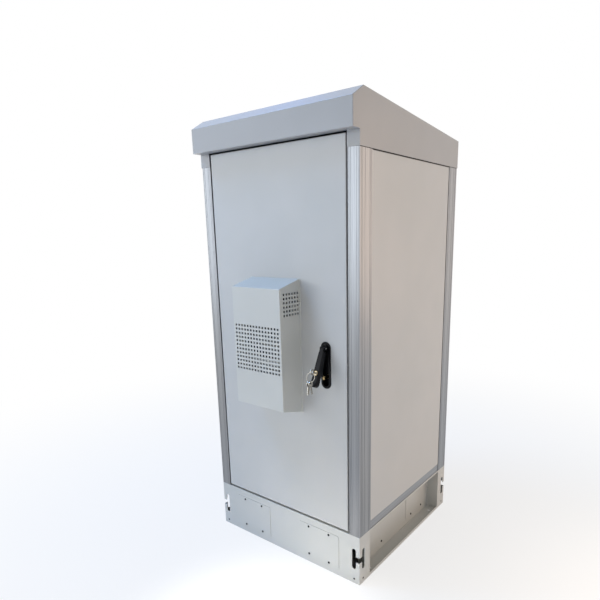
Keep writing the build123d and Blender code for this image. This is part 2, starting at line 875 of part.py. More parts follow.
def fan_rotor(size, deep, middle_z, back):
    """Fan rotor: a hub that runs on the motor shaft, with pitched blades."""
    half = size / 2
    hub_radius_here = half * 0.32
    start = back - 6
    end = back - deep + 4
    middle = Pos(hood_middle, middle_z)
    ring = Circle(hub_radius_here) - Circle(fan_shaft_radius + fan_running_gap)
    rotor = along_y(middle * ring, end, start)
    tip = half - fan_wall - fan_tip_gap
    span = tip - hub_radius_here + 2
    chord = (start - end) * 0.92
    for i in range(blade_count):
        blade = Pos(hub_radius_here + span / 2 - 2, 0, 0) * Rot(35, 0, 0) * Box(span, chord * 0.9, blade_thickness)
        turned = Rot(0, 0, i * 360 / blade_count) * blade
        rotor += Pos(hood_middle, (start + end) / 2, middle_z) * Rot(90, 0, 0) * turned
    return rotor


# Lock

def lock_dish():
    """Moulded dish in the door: rim, body, finger recess and the spindle bore."""
    rim = Rot(0, 0, 90) * SlotOverall(dish_length, dish_width)
    inset = 2 * dish_body_inset
    body = Rot(0, 0, 90) * SlotOverall(dish_length - inset, dish_width - inset)
    place = Pos(lock_x, dish_middle)
    dish = along_y(place * rim, dish_face, front)
    outer_edges = dish.edges().filter_by(lambda edge: abs(edge.center().Y - dish_face) < 0.01)
    dish = chamfer(outer_edges, dish_rim / 2)
    dish += along_y(place * body, front, dish_back)
    recess_low = dish_bottom + dish_body_inset + dish_wall
    recess_height = hub_height - dish_recess_below_hub - recess_low
    recess_width = dish_width - inset - 2 * dish_wall
    recess = Rot(0, 0, 90) * SlotOverall(recess_height, recess_width)
    recess_place = Pos(lock_x, recess_low + recess_height / 2)
    dish -= along_y(recess_place * recess, dish_face - 1, dish_back - dish_wall)
    bore = Pos(lock_x, hub_height) * Circle(spindle_radius + spindle_running_gap)
    return dish - along_y(bore, dish_face - 1, dish_back + 1)


def dish_latch():
    """Metal strike in the dish that the lever's cam hooks behind."""
    half = latch_width / 2
    top = dish_face - latch_proud
    floor = dish_back - dish_wall
    low = latch_height - latch_half_height
    high = latch_height + latch_half_height
    profile = [(floor, low), (floor, high), (top + 4, high), (top, latch_height + 2), (top, low)]
    return along_x(outline(profile), lock_x - half, lock_x + half)


def handle_hub():
    """Turning hub: disc on the dish, two ears for the lever pin and the spindle."""
    disc = along_y(Pos(lock_x, hub_height) * Circle(hub_radius), hub_front, dish_face - hub_gap)
    spindle_end = gear_y + gear_width / 2 + gearbox_clearance
    spindle = along_y(Pos(lock_x, hub_height) * Circle(spindle_radius), dish_face - hub_gap, spindle_end)
    ear = Pos(pivot_y, hub_height) * Circle(hub_ear_radius)
    ear += Pos((pivot_y + hub_front) / 2, hub_height) * Rectangle(hub_front - pivot_y, 2 * hub_ear_radius)
    ear -= Pos(pivot_y, hub_height) * Circle(lever_pin_radius)
    hub = disc + spindle
    inner = lever_fork_width / 2 + hub_gap
    hub += along_x(ear, lock_x + inner, lock_x + inner + hub_ear)
    hub += along_x(ear, lock_x - inner - hub_ear, lock_x - inner)
    return hub


def lever_pin():
    """Pin pressed in the hub's ears, running in the lever."""
    half = lever_fork_width / 2 + hub_gap + hub_ear
    return along_x(Pos(pivot_y, hub_height) * Circle(lever_pin_radius), lock_x - half, lock_x + half)


def popped(shape):
    """Turn a piece drawn in the stowed lever out to the lever's rest angle."""
    here = Pos(lock_x, pivot_y, hub_height)
    return here * Rot(-lever_popped, 0, 0) * here.inverse() * shape


def barrel_place():
    """Middle of the lock barrel on the stowed lever, in the front view."""
    return Pos(lock_x, hub_height - barrel_distance)


def handle_lever():
    """Hollow swing lever with a rounded, flared tip and a seat for the barrel."""
    face = pivot_y - lever_thickness / 2
    back = pivot_y + lever_thickness / 2
    tip_z = hub_height - lever_length + lever_tip_radius
    ends = Pos(lock_x, hub_height) * Circle(lever_top_radius) + Pos(lock_x, tip_z) * Circle(lever_tip_radius)
    body = along_y(make_hull(ends.edges()), face, back)
    face_edges = body.edges().filter_by(lambda edge: abs(edge.center().Y - face) < 0.01)
    body = fillet(face_edges, 4)
    low = tip_z - lever_tip_radius + lever_wall
    high = hub_height - hub_radius - 6
    half = lever_tip_radius - lever_wall - 1
    pocket = RectangleRounded(2 * half, high - low, half * 0.9)
    pocket_cut = along_y(Pos(lock_x, (low + high) / 2) * pocket, face + 4, back + 1)
    body -= pocket_cut
    seat = along_y(barrel_place() * Circle(barrel_radius + 1.5), face + 3, back - 6)
    body += seat & along_y(make_hull(ends.edges()), face, back)
    body -= along_y(barrel_place() * Circle(barrel_radius), face - 1, back + 1)
    side_cut = hub_radius + 3
    for side in (-1, 1):
        fork = sorted((lock_x + side * lever_fork_width / 2, lock_x + side * (lever_tip_radius + 5)))
        body -= block(fork, (face - 1, back + 1), (hub_height - side_cut, hub_height + side_cut))
    bore = Circle(lever_pin_radius + lever_pin_gap)
    body -= along_x(Pos(pivot_y, hub_height) * bore, lock_x - lever_tip_radius, lock_x + lever_tip_radius)
    eye = lever_eye_radius
    neck = [(pivot_y + eye, -side_cut), (pivot_y + eye, 0), (pivot_y, eye), (face + 4, eye - 2)]
    neck += [(face, 0), (face - 1, -side_cut), (face - 1, -2 * lever_length)]
    neck += [(back + 1, -2 * lever_length), (back + 1, -side_cut)]
    keep = outline([(y, hub_height + z) for y, z in neck]) + Pos(pivot_y, hub_height) * Circle(eye)
    wide = 2 * lever_tip_radius
    return popped(body & along_x(keep, lock_x - wide, lock_x + wide))


def lock_barrel():
    """Lock barrel fixed in the lever."""
    face = pivot_y - lever_thickness / 2
    ring = Circle(barrel_radius) - Circle(plug_radius + plug_running_gap)
    return popped(along_y(barrel_place() * ring, face - barrel_proud, face + lever_thickness - 6))


def key_plug():
    """Turning plug in the barrel with its cam and the keyway."""
    face = pivot_y - lever_thickness / 2 - barrel_proud
    end = face + barrel_proud + lever_thickness - 6
    plug = along_y(barrel_place() * Circle(plug_radius), face, end)
    cam = Pos(0, cam_length / 2 - 2) * Rectangle(6, cam_length + 4)
    plug += along_y(barrel_place() * (cam + Circle(3.5)), end, end + cam_thickness)
    keyway = barrel_place() * Rectangle(key_sheet, key_blade_width)
    return popped(plug - along_y(keyway, face - 1, face + 12))


def key_outline(blade):
    """One key seen from its side: the bow round its hole, the blade towards positive X."""
    reach = key_bow_radius + blade
    face = Circle(key_bow_radius) + Pos(reach / 2, 0) * Rectangle(reach, key_blade_width)
    return face - Pos(key_hole_offset(), 0) * Circle(key_bow_hole)


def key_hole_offset():
    """Place of the hole in the bow, away from the blade."""
    return -0.35 * key_bow_radius


def ring_top():
    """Depth and height of the ring's wire where it hangs in the key's hole."""
    out = lever_thickness / 2 + barrel_proud + key_shank + key_bow_radius - key_hole_offset()
    lean = math.radians(lever_popped)
    y = pivot_y - out * math.cos(lean) - barrel_distance * math.sin(lean)
    z = hub_height + out * math.sin(lean) - barrel_distance * math.cos(lean)
    return y, z - (key_bow_hole - ring_wire) * ring_slack


def working_key():
    """Key in the lock, standing edge up."""
    face = pivot_y - lever_thickness / 2 - barrel_proud
    middle = face - key_shank - key_bow_radius
    side_view = Pos(middle, hub_height - barrel_distance) * key_outline(key_shank + key_blade_in_plug)
    return popped(along_x(side_view, lock_x - key_sheet / 2, lock_x + key_sheet / 2))


def key_ring():
    """Wire ring through the bow of the key, leaning out over the lever."""
    y, z = ring_top()
    ring = Pos(0, 0, -ring_radius) * Rot(90, 0, 0) * Torus(ring_radius, ring_wire)
    return Pos(lock_x, y, z) * Rot(-ring_lean, 0, 0) * ring


def spare_key(side):
    """Spare key hanging from the bottom of the ring, a little askew."""
    lean = math.radians(ring_lean)
    y, z = ring_top()
    drop = ring_radius + math.sqrt(ring_radius ** 2 - spare_key_offset ** 2)
    y -= drop * math.sin(lean)
    z -= drop * math.cos(lean) + (key_bow_hole - ring_wire) * ring_slack
    view = Rot(0, 0, -90 + side * spare_key_swing) * Pos(-key_hole_offset(), 0) * key_outline(spare_key_blade)
    middle = lock_x + side * spare_key_offset
    return along_x(Pos(y, z) * view, middle - key_sheet / 2, middle + key_sheet / 2)


def keys():
    """Key in the lock, the wire ring and two spare keys."""
    return group([working_key(), key_ring(), spare_key(-1), spare_key(1)])


# Lock rods and gear

def gear():
    """Spur pinion on the spindle."""
    tip = pitch_radius + gear_module
    root = pitch_radius - 1.25 * gear_module
    step = 2 * math.pi / gear_teeth
    points = []
    for i in range(gear_teeth):
        middle = i * step
        for radius, share in ((root, -0.36), (tip, -0.13), (tip, 0.13), (root, 0.36)):
            angle = middle + share * step
            points.append((radius * math.cos(angle), radius * math.sin(angle)))
    face = outline(points) - Circle(spindle_radius)
    return along_y(Pos(lock_x, hub_height) * face, gear_y - gear_width / 2, gear_y + gear_width / 2)


def rack_bar(side, low, high):
    """Toothed lock rod on one side of the pinion, with a narrower tip."""
    pitch = math.pi * gear_module
    tooth_line = pitch_radius - gear_module + gear_backlash
    root_line = pitch_radius + 1.25 * gear_module + gear_backlash
    back_line = root_line + rod_back
    bar = [(root_line, low), (back_line, low), (back_line, high), (root_line, high)]
    face = outline(bar)
    for i in range(rod_rack_teeth):
        middle = hub_height + (i - (rod_rack_teeth - 1) / 2 - side * rod_rack_shift) * pitch
        wide = pitch * 0.36
        narrow = pitch * 0.13
        tooth = [(root_line + 0.1, middle - wide), (tooth_line, middle - narrow)]
        tooth += [(tooth_line, middle + narrow), (root_line + 0.1, middle + wide)]
        face += outline(tooth)
    if side < 0:
        face = mirror(face, Plane.YZ)
    y = gear_y - rod_thickness / 2
    return along_y(Pos(lock_x, 0) * face, y, y + rod_thickness)


def upper_rod():
    """Rod that locks the top of the door, on the left of the pinion."""
    low = hub_height + (rod_rack_shift - rod_rack_teeth / 2) * math.pi * gear_module
    return rack_bar(-1, low, rod_upper_tip)


def lower_rod():
    """Rod that locks the bottom of the door, on the right of the pinion."""
    high = hub_height - (rod_rack_shift - rod_rack_teeth / 2) * math.pi * gear_module
    return rack_bar(1, rod_lower_tip, high)


def rod_lines():
    """Inner and outer edge of a rod's body, measured from the spindle."""
    root_line = pitch_radius + 1.25 * gear_module + gear_backlash
    return root_line, root_line + rod_back


def gearbox_housing():
    """Open gear housing: a base plate on the stiffener and walls that guide the rods."""
    outer = rod_lines()[1] + gearbox_clearance
    rear_face = gear_y + gear_width / 2 + gearbox_clearance
    base_y = (door_back, gear_y - gear_width / 2 - gearbox_clearance)
    half_z = gearbox_height / 2
    z = (hub_height - half_z, hub_height + half_z)
    housing = block((lock_x - outer - gearbox_wall, lock_x + outer + gearbox_wall), (base_y[0], rear_face), z)
    housing -= block((lock_x - outer, lock_x + outer), (base_y[1], rear_face + 1), (z[0] - 1, z[1] + 1))
    bore = Pos(lock_x, hub_height) * Circle(spindle_radius + spindle_running_gap)
    return housing - along_y(bore, base_y[0] - 1, base_y[1] + 1)


def gearbox_cover():
    """Cover plate of the gear housing, cut away so that the pinion can be seen."""
    outer = rod_lines()[1] + gearbox_clearance + gearbox_wall
    rear_face = gear_y + gear_width / 2 + gearbox_clearance
    half_z = gearbox_height / 2
    face = Rectangle(2 * outer, gearbox_height)
    face -= Pos(0, 0) * Circle(pitch_radius + gear_module + 1)
    face += Rectangle(2 * outer, 7)
    return along_y(Pos(lock_x, hub_height) * face, rear_face, rear_face + gearbox_cover_sheet)


def rod_guide(side, height):
    """Guide block on the stiffener that a lock rod slides through."""
    inner, outer = rod_lines()
    wall = rod_guide_wall
    low_x = inner - gearbox_clearance
    high_x = outer + gearbox_clearance
    y = gear_y - rod_thickness / 2 - gearbox_clearance
    guide_x = sorted((lock_x + side * (low_x - wall), lock_x + side * (high_x + wall)))
    far = gear_y + rod_thickness / 2 + gearbox_clearance
    guide = block(guide_x, (door_back, far + wall), (height, height + rod_guide_height))
    hole_x = sorted((lock_x + side * low_x, lock_x + side * high_x))
    return guide - block(hole_x, (y, far), (height - 1, height + rod_guide_height + 1))


def rod_guides():
    """Guides of both lock rods."""
    high = frame_top_edge - rod_guide_offset
    low = frame_bottom_edge + rod_guide_offset - rod_guide_height
    upper = [rod_guide(-1, high), rod_guide(-1, high - rod_guide_spacing)]
    lower = [rod_guide(1, low), rod_guide(1, low + rod_guide_spacing)]
    return group(upper + lower)


# Inside the cabinet

def floor_plate():
    """Floor with the cable entry."""
    half = chamber_inner - rail_setback
    y = (front + post_nose + 2 * frame_sheet, rear - post_nose - floor_edge_gap)
    plate = block((-half, half), y, (rail_top, floor_top))
    entry_x = cable_entry_width / 2
    entry_y = (cable_entry_middle - cable_entry_depth / 2, cable_entry_middle + cable_entry_depth / 2)
    return plate - block((-entry_x, entry_x), entry_y, (rail_top - 1, floor_top + 1))


def entry_edge_trim():
    """Rubber edging round the cable entry."""
    trim = extrude(Rectangle(cable_entry_width + 2 * entry_trim, cable_entry_depth + 2 * entry_trim), amount=entry_trim)
    trim -= Pos(0, 0, entry_trim / 2) * Box(
        cable_entry_width - 2 * entry_trim, cable_entry_depth - 2 * entry_trim, 3 * entry_trim)
    return Pos(0, cable_entry_middle, floor_top) * trim


def rack_upright(section_front, back_wards):
    """Right-hand rack upright: an angle with its flange facing the door or the back."""
    outer = rack_half_opening + rack_flange
    leg = section_front + back_wards * rack_leg
    path = [(rack_half_opening, section_front), (outer, section_front), (outer, leg)]
    if back_wards < 0:
        path = path[::-1]
    return upright(folded(path, rack_sheet), rack_bottom, rack_top)


def front_upright():
    """Front rack upright with square holes at the standard unit spacing."""
    angle = rack_upright(rack_front, 1)
    holes = Sketch()
    squares = []
    for unit in range(rack_unit_count):
        for place in rack_hole_places:
            height = rack_first_unit + unit * rack_unit + place
            squares.append(Pos(rack_hole_spacing / 2, height) * Rectangle(rack_hole, rack_hole))
    holes = holes + squares
    return angle - along_y(holes, rack_front - 1, rack_front + rack_sheet + 1)


def rear_upright():
    """Rear rack upright with support slots."""
    angle = rack_upright(rack_rear, -1)
    for i in range(rack_unit_count // 2):
        height = rack_first_unit + (2 * i + 1) * rack_unit
        slot = Pos(rack_hole_spacing / 2, height) * Rectangle(rear_slot_width, rear_slot_length)
        angle -= along_y(slot, rack_rear - rack_sheet - 1, rack_rear + 1)
    return angle


def rack_members():
    """Folded members on the right that tie the uprights to the corner posts."""
    web = rack_half_opening + rack_flange
    end = depth / 2 - post_side
    reach = half_width - post_wall
    path = [(reach, end), (web, end), (web, -end), (reach, -end)]
    section = folded(path, member_sheet)
    return group([upright(section, level, level + member_height) for level in member_levels])


def earth_bar():
    """Earthing bar on two bent feet behind the rear uprights."""
    y = rear - panel_setback - panel_tray - earth_rear_gap
    half = earth_bar_length / 2
    low = floor_top + earth_bar_rise
    bar = block((-half, half), (y, y + earth_bar_thickness), (low, low + earth_bar_height))
    for side in (-1, 1):
        x = sorted((side * half, side * (half - earth_foot)))
        bar += block(x, (y, y + earth_bar_thickness), (floor_top, low))
        bar += block(x, (y, y + earth_foot_depth), (floor_top, floor_top + earth_bar_thickness))
    for i in range(earth_hole_count):
        x = (i - (earth_hole_count - 1) / 2) * earth_hole_pitch
        hole = Pos(x, low + earth_bar_height / 2) * Circle(earth_hole_radius)
        bar -= along_y(hole, y - 1, y + earth_bar_thickness + 1)
    return bar


def build():
    """All pieces by node name."""
    post = corner_post()
    panel = side_panel()
    channel = plinth_channel()
    base = plinth_panel()
    members = rack_members()
    front_angle = front_upright()
    rear_angle = rear_upright()
    low_cross, low_sides = frame_rails(plinth_height)
    high_cross, high_sides = frame_rails(top_rail_low)
    outer_fan_back = front - fan_standoff
    inner_fan_back = unit_back
    outer_fan = (fan_size, fan_depth, fan_bottom + fan_size / 2, outer_fan_back)
    inner_fan = (inner_fan_size, inner_fan_depth, inner_fan_middle, inner_fan_back)
    return {
        "plinth_front": base,
        "plinth_rear": Rot(0, 0, 180) * base,
        "plinth_side_right": channel,
        "plinth_side_left": mirrored_x(channel),
        "plinth_cover_plates": cover_plates(),
        "post_front_right": post,
        "post_front_left": mirrored_x(post),
        "post_rear_right": mirror(post, Plane.XZ),
        "post_rear_left": Rot(0, 0, 180) * post,
        "bottom_cross_rails": group(low_cross),
        "bottom_side_rails": group(low_sides),
        "top_cross_rails": group(high_cross),
        "top_side_rails": group(high_sides),
        "door_frame": door_frame(),
        "side_panel_right": panel,
        "side_panel_left": mirrored_x(panel),
        "rear_panel": rear_panel(),
        "panel_insulation": panel_foam(),
        "floor_plate": floor_plate(),
        "cable_entry_trim": entry_edge_trim(),
        "top_plate": top_plate(),
        "roof_bearers": roof_bearers(),
        "roof_cover": roof_cover(),
        "rack_upright_front_right": front_angle,
        "rack_upright_front_left": mirrored_x(front_angle),
        "rack_upright_rear_right": rear_angle,
        "rack_upright_rear_left": mirrored_x(rear_angle),
        "rack_members_right": members,
        "rack_members_left": mirrored_x(members),
        "earth_bar": earth_bar(),
        "hinge_frame_leaves": group([hinge_frame_leaf(height) for height in hinge_heights]),
        "door_panel": door_panel(),
        "door_stiffeners": door_stiffeners(),
        "door_insulation": door_foam(),
        "door_gasket": door_gasket(),
        "hinge_door_leaves": group([hinge_door_leaf(height) for height in hinge_heights]),
        "hinge_pins": group([hinge_pin(height) for height in hinge_heights]),
        "cooling_hood": hood(),
        "fan_bracket": fan_shroud(),
        "outer_fan_frame": fan_frame(*outer_fan),
        "outer_fan_rotor": fan_rotor(*outer_fan),
        "unit_housing": unit_housing(),
        "heat_exchanger_core": unit_core(),
        "unit_cover": unit_cover(),
        "inner_fan_frame": fan_frame(*inner_fan),
        "inner_fan_rotor": fan_rotor(*inner_fan),
        "lock_dish": lock_dish(),
        "dish_latch": dish_latch(),
        "gearbox_housing": gearbox_housing(),
        "gearbox_cover": gearbox_cover(),
        "rod_guides": rod_guides(),
        "handle_hub": handle_hub(),
        "lever_pin": lever_pin(),
        "lock_pinion": gear(),
        "upper_rod": upper_rod(),
        "lower_rod": lower_rod(),
        "handle_lever": handle_lever(),
        "lock_barrel": lock_barrel(),
        "key_plug": key_plug(),
        "keys_on_ring": keys(),
    }


os.makedirs("parts", exist_ok=True)
for name, shape in build().items():
    export_step(shape, f"parts/{name}.step")
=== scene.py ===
"""Roadside utility cabinet: finishes, fasteners, stage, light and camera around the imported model."""

import json
import logging
import math
from dataclasses import dataclass, field, replace
from enum import Enum

import bmesh
import bpy
from mathutils import Matrix, Vector

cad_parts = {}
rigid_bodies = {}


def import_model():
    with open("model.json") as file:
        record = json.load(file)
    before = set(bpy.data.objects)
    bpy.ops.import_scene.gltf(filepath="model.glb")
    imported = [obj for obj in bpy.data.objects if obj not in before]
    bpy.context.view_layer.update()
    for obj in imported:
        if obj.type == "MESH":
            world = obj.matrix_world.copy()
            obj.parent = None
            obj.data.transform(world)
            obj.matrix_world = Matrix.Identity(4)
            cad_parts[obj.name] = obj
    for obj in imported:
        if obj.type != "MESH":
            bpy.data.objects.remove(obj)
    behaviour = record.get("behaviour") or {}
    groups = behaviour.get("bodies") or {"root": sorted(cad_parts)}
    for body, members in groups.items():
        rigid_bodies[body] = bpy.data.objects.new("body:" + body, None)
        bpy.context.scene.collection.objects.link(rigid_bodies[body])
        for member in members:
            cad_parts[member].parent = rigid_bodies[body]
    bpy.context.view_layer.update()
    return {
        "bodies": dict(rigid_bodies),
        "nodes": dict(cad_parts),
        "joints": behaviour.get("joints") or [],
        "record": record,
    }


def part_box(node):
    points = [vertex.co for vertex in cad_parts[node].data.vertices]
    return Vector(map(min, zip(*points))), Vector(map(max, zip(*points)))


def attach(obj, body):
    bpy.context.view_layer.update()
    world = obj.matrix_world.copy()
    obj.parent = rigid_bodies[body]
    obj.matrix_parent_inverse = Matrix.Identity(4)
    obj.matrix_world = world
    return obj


log = logging.getLogger("cabinet")
MM = 0.001
Point = tuple[float, float, float]


def linear(hex_colour: str) -> tuple[float, float, float, float]:
    """Turn an sRGB hex colour to linear light.

    Args:
        hex_colour: Six hex digits after a #.

    Returns:
        Red, green, blue and an alpha of 1.
    """
    parts = [int(hex_colour[i:i + 2], 16) / 255 for i in (1, 3, 5)]
    light = [c / 12.92 if c <= 0.04045 else ((c + 0.055) / 1.055) ** 2.4 for c in parts]
    return light[0], light[1], light[2], 1.0


def add_node(tree: bpy.types.NodeTree, kind: str, settings: dict[str, object] | None = None,
             values: dict[str | int, object] | None = None,
             links: dict[str | int, bpy.types.NodeSocket] | None = None) -> bpy.types.Node:
    """Add a node with its settings, socket values and links.

    Args:
        tree: Node tree that takes the node.
        kind: Blender's name of the node type.
        settings: Attributes of the node.
        values: Values by the input's name or number.
        links: Output sockets by the input's name or number.

    Returns:
        The new node.
    """
    node = tree.nodes.new(kind)
    for name, value in (settings or {}).items():
        setattr(node, name, value)
    for name, value in (values or {}).items():
        node.inputs[name].default_value = value
    for name, output in (links or {}).items():
        tree.links.new(output, node.inputs[name])
    return node


# Scale of a pattern along its grain, which draws it 250 times longer there.
LONG = 0.004


class Grain(Enum):
    """Direction in which a surface was drawn or rolled, as the scale of its pattern along each axis."""

    ALONG_X = (LONG, 1.0, 1.0)
    ALONG_Y = (1.0, LONG, 1.0)
    ALONG_Z = (1.0, 1.0, LONG)
    NONE = (1.0, 1.0, 1.0)


@dataclass(frozen=True)
class Finish:
    """What every finish has: its name, its two colours, its gloss, and the size and depth of its pattern.

    The tint and the gloss may vary over longer lengths than the pattern, given as numbers of patterns.
    """

    name: str
    colour: str
    shade: str
    roughness: float
    pattern_mm: float
    relief_mm: float
    grain: Grain = Grain.NONE
    tint_low: float = 0.35
    tint_high: float = 0.65
    tint_patterns: float = 1.0
    gloss_patterns: float = 1.0
    gloss_spread: float = 0.05
    relief_share: float = 0.5

    def start(self) -> tuple[bpy.types.Material, bpy.types.NodeTree, bpy.types.Node]:
        """Make the empty material.

        Returns:
            The material, its node tree and its shader.
        """
        material = bpy.data.materials.new(self.name)
        material.use_nodes = True
        tree = material.node_tree
        tree.nodes.clear()
        shader = add_node(tree, "ShaderNodeBsdfPrincipled")
        add_node(tree, "ShaderNodeOutputMaterial", links={"Surface": shader.outputs["BSDF"]})
        return material, tree, shader

    def noise(self, tree: bpy.types.NodeTree, size_mm: float, detail: float = 2.0) -> bpy.types.NodeSocket:
        """Noise whose features have a real size, stretched along the grain.

        Args:
            tree: Node tree of the material.
            size_mm: Size of one feature.
            detail: Octaves of finer noise.

        Returns:
            The noise's value, from 0 to 1.
        """
        place = add_node(tree, "ShaderNodeTexCoord")
        stretch = add_node(tree, "ShaderNodeMapping", values={"Scale": self.grain.value},
                           links={"Vector": place.outputs["Object"]})
        cloud = add_node(tree, "ShaderNodeTexNoise", values={"Scale": 1 / (size_mm * MM), "Detail": detail},
                         links={"Vector": stretch.outputs["Vector"]})
        return cloud.outputs["Fac"]

    def tint(self, tree: bpy.types.NodeTree, shader: bpy.types.Node, mask: bpy.types.NodeSocket) -> None:
        """Colour the surface between its two colours by a mask.

        Args:
            tree: Node tree of the material.
            shader: Shader that takes the colour.
            mask: Value that picks the colour.
        """
        ramp = add_node(tree, "ShaderNodeValToRGB", links={"Fac": mask})
        ramp.color_ramp.elements[0].position = self.tint_low
        ramp.color_ramp.elements[0].color = linear(self.colour)
        ramp.color_ramp.elements[1].position = self.tint_high
        ramp.color_ramp.elements[1].color = linear(self.shade)
        tree.links.new(ramp.outputs["Color"], shader.inputs["Base Color"])

    def gloss(self, tree: bpy.types.NodeTree, shader: bpy.types.Node, mask: bpy.types.NodeSocket) -> None:
        """Let the roughness wander around its value, by its spread to either side.

        Args:
            tree: Node tree of the material.
            shader: Shader that takes the roughness.
            mask: Value that steers it.
        """
        wander = add_node(tree, "ShaderNodeMapRange", links={"Value": mask},
                          values={"To Min": self.roughness - self.gloss_spread,
                                  "To Max": self.roughness + self.gloss_spread})
        tree.links.new(wander.outputs["Result"], shader.inputs["Roughness"])

    def relief(self, tree: bpy.types.NodeTree, shader: bpy.types.Node, height: bpy.types.NodeSocket) -> None:
        """Raise the surface by a height pattern, of which the relief's share shows.

        Args:
            tree: Node tree of the material.
            shader: Shader that takes the normal.
            height: Pattern from 0 to 1.
        """
        bump = add_node(tree, "ShaderNodeBump", links={"Height": height},
                        values={"Distance": self.relief_mm * MM, "Strength": self.relief_share})
        tree.links.new(bump.outputs["Normal"], shader.inputs["Normal"])

    def material(self) -> bpy.types.Material:
        """Make the material of this finish."""
        raise NotImplementedError


@dataclass(frozen=True)
class PowderCoat(Finish):
    """Polyester powder coat on sheet steel, sprayed and baked: an even satin skin with fine orange peel."""

    coat: float = 0.15
    coat_roughness: float = 0.25
    cloud_mm: float = 260.0
    patches_per_cloud: float = 3.0
    gloss_spread: float = 0.04
    relief_share: float = 0.6

    def material(self) -> bpy.types.Material:
        """Make the paint, with a faint unevenness as of a baked coat.

        Returns:
            The material.
        """
        material, tree, shader = self.start()
        shader.inputs["Coat Weight"].default_value = self.coat
        shader.inputs["Coat Roughness"].default_value = self.coat_roughness
        self.tint(tree, shader, self.noise(tree, self.cloud_mm))
        self.gloss(tree, shader, self.noise(tree, self.cloud_mm / self.patches_per_cloud, detail=4.0))
        self.relief(tree, shader, self.noise(tree, self.pattern_mm))
        return material


@dataclass(frozen=True)
class AnodisedAluminium(Finish):
    """Aluminium, extruded and clear anodised or rolled: a silky metal with fine lines along its length."""

    gloss_patterns: float = 6.0
    relief_share: float = 0.8

    def material(self) -> bpy.types.Material:
        """Make the metal with its lines.

        Returns:
            The material.
        """
        material, tree, shader = self.start()
        shader.inputs["Metallic"].default_value = 1.0
        lines = self.noise(tree, self.pattern_mm)
        self.tint(tree, shader, lines)
        self.gloss(tree, shader, self.noise(tree, self.pattern_mm * self.gloss_patterns))
        self.relief(tree, shader, lines)
        return material


@dataclass(frozen=True)
class ZincCoatedSteel(Finish):
    """Hot-dip galvanised sheet steel: flat zinc crystals that each catch the light in their own way."""

    tint_low: float = 0.0
    tint_high: float = 1.0
    gloss_spread: float = 0.08

    def material(self) -> bpy.types.Material:
        """Make the metal with its spangle.

        Returns:
            The material.
        """
        material, tree, shader = self.start()
        shader.inputs["Metallic"].default_value = 1.0
        place = add_node(tree, "ShaderNodeTexCoord")
        crystals = add_node(tree, "ShaderNodeTexVoronoi", values={"Scale": 1 / (self.pattern_mm * MM)},
                            links={"Vector": place.outputs["Object"]})
        value = add_node(tree, "ShaderNodeSeparateColor", links={"Color": crystals.outputs["Color"]})
        self.tint(tree, shader, value.outputs["Red"])
        self.gloss(tree, shader, value.outputs["Green"])
        self.relief(tree, shader, value.outputs["Blue"])
        return material


@dataclass(frozen=True)
class PlatedMetal(Finish):
    """Machined or turned metal, plain, plated or blackened: smooth, with fine tool marks."""

    tint_patterns: float = 12.0
    gloss_patterns: float = 4.0
    gloss_spread: float = 0.06

    def material(self) -> bpy.types.Material:
        """Make the metal with its tool marks.

        Returns:
            The material.
        """
        material, tree, shader = self.start()
        shader.inputs["Metallic"].default_value = 1.0
        self.tint(tree, shader, self.noise(tree, self.pattern_mm * self.tint_patterns, detail=3.0))
        self.gloss(tree, shader, self.noise(tree, self.pattern_mm * self.gloss_patterns, detail=3.0))
        self.relief(tree, shader, self.noise(tree, self.pattern_mm))
        return material


@dataclass(frozen=True)
class MouldedPlastic(Finish):
    """Moulded plastic, a coated casting or extruded rubber: dark, with a fine grain."""

    tint_patterns: float = 30.0
    gloss_patterns: float = 8.0
    shine: float = 0.5

    def material(self) -> bpy.types.Material:
        """Make the plastic with its grain.

        Returns:
            The material.
        """
        material, tree, shader = self.start()
        shader.inputs["Specular IOR Level"].default_value = self.shine
        self.tint(tree, shader, self.noise(tree, self.pattern_mm * self.tint_patterns, detail=3.0))
        self.gloss(tree, shader, self.noise(tree, self.pattern_mm * self.gloss_patterns))
        self.relief(tree, shader, self.noise(tree, self.pattern_mm))
        return material


@dataclass(frozen=True)
class ClosedCellFoam(Finish):
    """Closed cell foam sheet, cut from a block: dull, with small open cells at the cut."""

    tint_low: float = 0.1
    tint_high: float = 0.6
    relief_share: float = 1.0

    def material(self) -> bpy.types.Material:
        """Make the foam with its cells.

        Returns:
            The material.
        """
        material, tree, shader = self.start()
        place = add_node(tree, "ShaderNodeTexCoord")
        cells = add_node(tree, "ShaderNodeTexVoronoi", values={"Scale": 1 / (self.pattern_mm * MM)},
                         links={"Vector": place.outputs["Object"]})
        self.tint(tree, shader, cells.outputs["Distance"])
        self.relief(tree, shader, cells.outputs["Distance"])
        shader.inputs["Roughness"].default_value = self.roughness
        return material


